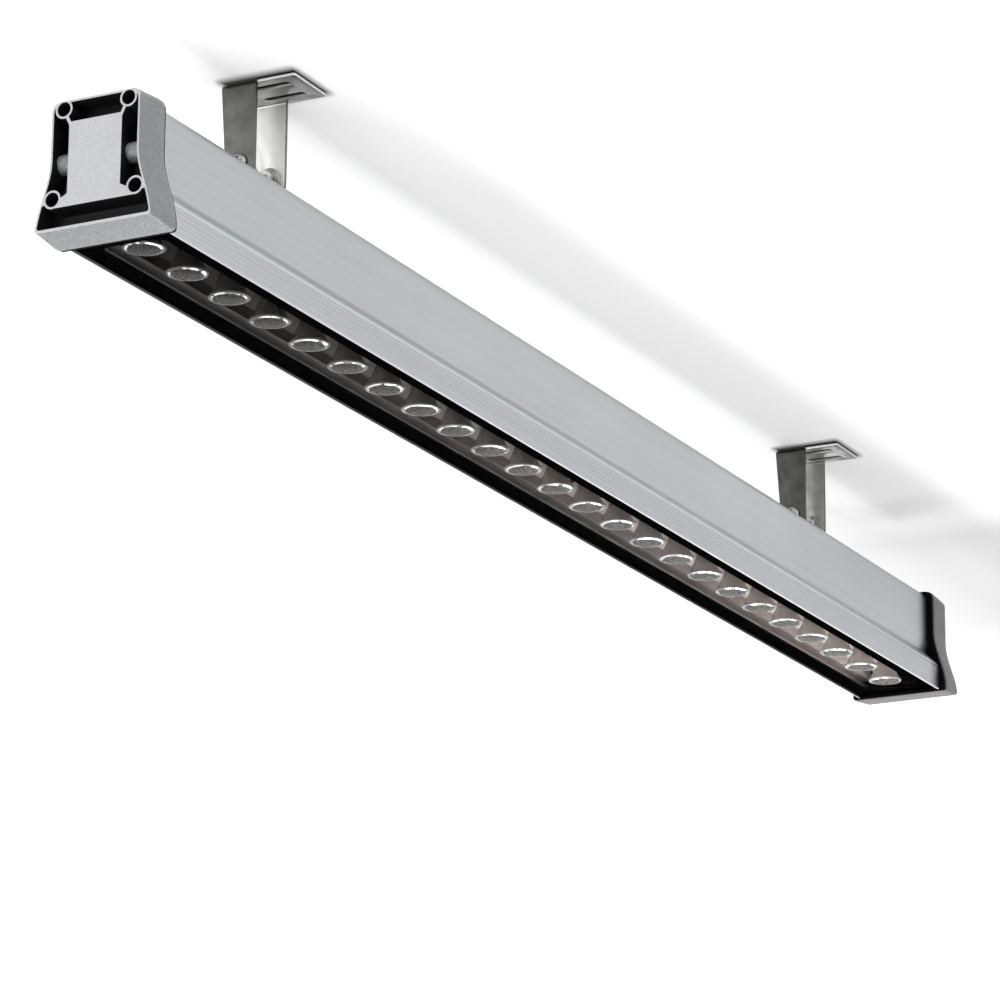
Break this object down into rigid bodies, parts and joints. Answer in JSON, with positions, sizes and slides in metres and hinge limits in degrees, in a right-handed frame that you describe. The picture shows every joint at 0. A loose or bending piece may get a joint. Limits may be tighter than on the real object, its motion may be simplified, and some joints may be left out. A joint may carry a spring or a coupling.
{
  "type": "wall washer light",
  "caption": "Linear outdoor wall washer: aluminium bar with a glazed row of lensed lights, cast end caps, and sliding, tilting steel U-brackets.",
  "frame": {"origin": "middle of the near bracket's foot, on its mounting face between the slots", "axes": "+X along the bar towards the far end, +Z out of the mounting face towards the wall or ceiling, light leaving towards -Z"},
  "size_m": [1.0193, 0.0654, 0.1204],
  "materials": {
    "anodised_aluminium": "satin",
    "cast_aluminium": "satin",
    "black_rubber": "matte",
    "black_seal": "satin",
    "dark_steel": "satin",
    "clear_glass": "polished",
    "clear_lens": "polished",
    "circuit_board": "satin",
    "led_package": "gloss",
    "zinc_steel": "satin",
    "bright_steel": "polished",
    "brushed_stainless": "satin",
    "lead_insulation": "satin",
    "driver_plastic": "satin",
    "winding_tape": "satin",
    "capacitor_sleeve": "gloss",
    "terminal_plastic": "satin",
    "brass": "satin",
    "nickel_brass": "satin"
  },
  "bodies": {
    "near_bracket": {"near_bracket": "brushed_stainless", "near_pivot_screws": "bright_steel", "near_pivot_nuts": "zinc_steel"},
    "near_base": {"near_bracket_base": "brushed_stainless", "near_slot_bolt": "zinc_steel", "near_slot_washer": "zinc_steel", "near_slot_nut": "zinc_steel"},
    "lamp": {"housing": "anodised_aluminium", "near_end_cap": "cast_aluminium", "far_end_cap": "cast_aluminium", "near_cap_gasket": "black_rubber", "far_cap_gasket": "black_rubber", "near_cap_screws": "dark_steel", "far_cap_screws": "dark_steel", "cover_glass": "clear_glass", "glass_seal": "black_seal", "near_led_board": "circuit_board", "far_led_board": "circuit_board", "near_leds": "led_package", "far_leds": "led_package", "near_lenses": "clear_lens", "far_lenses": "clear_lens", "board_screws": "zinc_steel", "board_link_leads": "lead_insulation", "driver_case": "driver_plastic", "driver_lid": "driver_plastic", "driver_board": "circuit_board", "driver_transformer": "winding_tape", "driver_capacitors": "capacitor_sleeve", "driver_screws": "zinc_steel", "driver_output_leads": "lead_insulation", "driver_input_leads": "lead_insulation", "terminal_block": "terminal_plastic", "earth_lead": "lead_insulation", "earth_screw": "brass", "gland_body": "nickel_brass", "gland_washer": "black_rubber", "gland_lock_nut": "nickel_brass", "gland_seal": "black_rubber", "gland_dome_nut": "nickel_brass"},
    "far_base": {"far_bracket_base": "brushed_stainless", "far_slot_bolt": "zinc_steel", "far_slot_washer": "zinc_steel", "far_slot_nut": "zinc_steel"},
    "far_bracket": {"far_bracket": "brushed_stainless", "far_pivot_screws": "bright_steel", "far_pivot_nuts": "zinc_steel"}
  },
  "joints": [
    {"name": "tilt", "type": "hinge", "parent": "near_bracket", "child": "near_base", "pos_m": [0, 0, -0.043], "axis": [1, 0, 0], "range_deg": [-90, 90]},
    {"name": "near_slide", "type": "slide", "parent": "near_base", "child": "lamp", "axis": [1, 0, 0], "range_m": [-0.33, 0.103]},
    {"name": "far_slide", "type": "slide", "parent": "lamp", "child": "far_base", "axis": [1, 0, 0], "range_m": [-0.3, 0.13]},
    {"name": "far_tilt", "type": "hinge", "parent": "far_base", "child": "far_bracket", "pos_m": [0.678, 0, -0.043], "axis": [1, 0, 0], "range_deg": [-90, 90]}
  ],
  "couplings": [
    {"joint": "far_tilt", "follows": "tilt", "ratio": -1}
  ]
}
